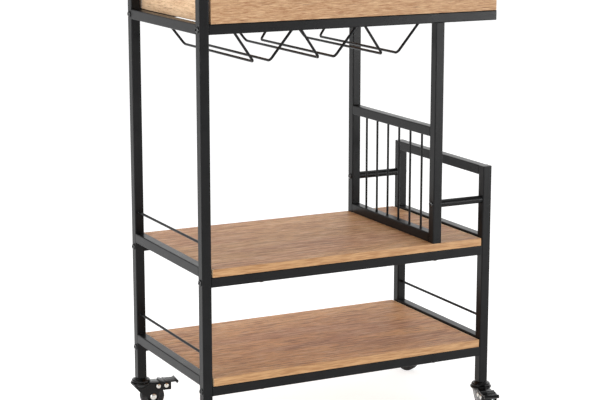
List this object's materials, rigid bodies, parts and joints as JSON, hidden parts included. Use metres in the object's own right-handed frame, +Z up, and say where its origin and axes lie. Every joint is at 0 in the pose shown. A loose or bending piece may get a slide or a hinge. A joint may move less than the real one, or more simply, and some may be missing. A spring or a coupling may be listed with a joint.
{
  "type": "bar cart",
  "caption": "Bar cart on braked swivel casters: square-tube frame with wooden shelves, lift-off tray, hanging stemware rack, bottle bay and push handle.",
  "frame": {"origin": "on the floor under the centre of the frame's four corner posts", "axes": "+Z up; +X along the cart, away from the push handle; +Y from the front to the rear"},
  "size_m": [0.676, 0.4289, 0.975],
  "materials": {
    "frame_black": "satin black powder coat",
    "shelf_oak": "light oak melamine with a banded edge",
    "tray_oak": "light oak veneer",
    "dowel_beech": "plain beech",
    "bolt_black": "blackened steel",
    "insert_zinc": "zinc plated",
    "caster_black": "gloss black paint",
    "rivet_steel": "bright steel",
    "ball_steel": "polished",
    "hub_plastic": "moulded black polypropylene",
    "tyre_black": "black rubber"
  },
  "bodies": {
    "frame": {"left_front_post": "frame_black", "left_rear_post": "frame_black", "push_handle_bar": "frame_black", "left_top_rail": "frame_black", "left_mid_rail": "frame_black", "left_lower_rail": "frame_black", "right_front_post": "frame_black", "right_rear_post": "frame_black", "right_end_rail": "frame_black", "right_mid_rail": "frame_black", "right_lower_rail": "frame_black", "top_front_rail": "frame_black", "top_rear_rail": "frame_black", "top_right_rail": "frame_black", "mid_front_rail": "frame_black", "mid_rear_rail": "frame_black", "lower_front_rail": "frame_black", "lower_rear_rail": "frame_black", "divider_front_post": "frame_black", "divider_rear_post": "frame_black", "divider_top_rail": "frame_black", "divider_bottom_rail": "frame_black", "divider_bars": "frame_black", "guard_rods": "frame_black", "bottle_bars": "frame_black", "stemware_wires": "frame_black", "mid_shelf_board": "shelf_oak", "lower_shelf_board": "shelf_oak", "frame_bolts": "bolt_black", "board_screws": "bolt_black", "divider_bolts": "bolt_black", "threaded_inserts": "insert_zinc", "caster_stems": "caster_black", "swivel_balls": "ball_steel"},
    "tray": {"tray_front_panel": "tray_oak", "tray_rear_panel": "tray_oak", "tray_left_panel": "tray_oak", "tray_right_panel": "tray_oak", "tray_floor_panel": "tray_oak", "tray_dowels": "dowel_beech"},
    "front_left_swivel": {"front_left_caster_fork": "caster_black", "front_left_caster_pins": "rivet_steel"},
    "front_left_wheel": {"front_left_wheel_hub": "hub_plastic", "front_left_wheel_tyre": "tyre_black"},
    "front_left_brake": {"front_left_brake_pedal": "caster_black"},
    "front_right_swivel": {"front_right_caster_fork": "caster_black", "front_right_caster_pins": "rivet_steel"},
    "front_right_wheel": {"front_right_wheel_hub": "hub_plastic", "front_right_wheel_tyre": "tyre_black"},
    "front_right_brake": {"front_right_brake_pedal": "caster_black"},
    "rear_left_swivel": {"rear_left_caster_fork": "caster_black", "rear_left_caster_pins": "rivet_steel"},
    "rear_left_wheel": {"rear_left_wheel_hub": "hub_plastic", "rear_left_wheel_tyre": "tyre_black"},
    "rear_left_brake": {"rear_left_brake_pedal": "caster_black"},
    "rear_right_swivel": {"rear_right_caster_fork": "caster_black", "rear_right_caster_pins": "rivet_steel"},
    "rear_right_wheel": {"rear_right_wheel_hub": "hub_plastic", "rear_right_wheel_tyre": "tyre_black"},
    "rear_right_brake": {"rear_right_brake_pedal": "caster_black"}
  },
  "joints": [
    {"name": "tray_lift", "type": "slide", "parent": "frame", "child": "tray", "axis": [0, 0, 1], "range_m": [0, 0.12]},
    {"name": "front_left_swivel_turn", "type": "hinge", "parent": "frame", "child": "front_left_swivel", "pos_m": [-0.302, -0.1655, 0.0515], "axis": [0, 0, 1], "continuous": true},
    {"name": "front_left_wheel_spin", "type": "hinge", "parent": "front_left_swivel", "child": "front_left_wheel", "pos_m": [-0.29809, -0.18766, 0.024], "axis": [0.9848, 0.1736, 0], "continuous": true},
    {"name": "front_left_brake_press", "type": "hinge", "parent": "front_left_swivel", "child": "front_left_brake", "pos_m": [-0.29627, -0.198, 0.046], "axis": [0.9848, 0.1736, 0], "range_deg": [0, 12]},
    {"name": "front_right_swivel_turn", "type": "hinge", "parent": "frame", "child": "front_right_swivel", "pos_m": [0.302, -0.1655, 0.0515], "axis": [0, 0, 1], "continuous": true},
    {"name": "front_right_wheel_spin", "type": "hinge", "parent": "front_right_swivel", "child": "front_right_wheel", "pos_m": [0.29618, -0.18723, 0.024], "axis": [0.9659, -0.2588, 0], "continuous": true},
    {"name": "front_right_brake_press", "type": "hinge", "parent": "front_right_swivel", "child": "front_right_brake", "pos_m": [0.29346, -0.19738, 0.046], "axis": [0.9659, -0.2588, 0], "range_deg": [0, 12]},
    {"name": "rear_left_swivel_turn", "type": "hinge", "parent": "frame", "child": "rear_left_swivel", "pos_m": [-0.302, 0.1655, 0.0515], "axis": [0, 0, 1], "continuous": true},
    {"name": "rear_left_wheel_spin", "type": "hinge", "parent": "rear_left_swivel", "child": "rear_left_wheel", "pos_m": [-0.27972, 0.16237, 0.024], "axis": [0.1392, 0.9903, 0], "continuous": true},
    {"name": "rear_left_brake_press", "type": "hinge", "parent": "rear_left_swivel", "child": "rear_left_brake", "pos_m": [-0.26932, 0.16091, 0.046], "axis": [0.1392, 0.9903, 0], "range_deg": [0, 12]},
    {"name": "rear_right_swivel_turn", "type": "hinge", "parent": "frame", "child": "rear_right_swivel", "pos_m": [0.302, 0.1655, 0.0515], "axis": [0, 0, 1], "continuous": true},
    {"name": "rear_right_wheel_spin", "type": "hinge", "parent": "rear_right_swivel", "child": "rear_right_wheel", "pos_m": [0.31325, 0.14601, 0.024], "axis": [0.866, 0.5, 0], "continuous": true},
    {"name": "rear_right_brake_press", "type": "hinge", "parent": "rear_right_swivel", "child": "rear_right_brake", "pos_m": [0.3185, 0.13692, 0.046], "axis": [0.866, 0.5, 0], "range_deg": [0, 12]}
  ]
}
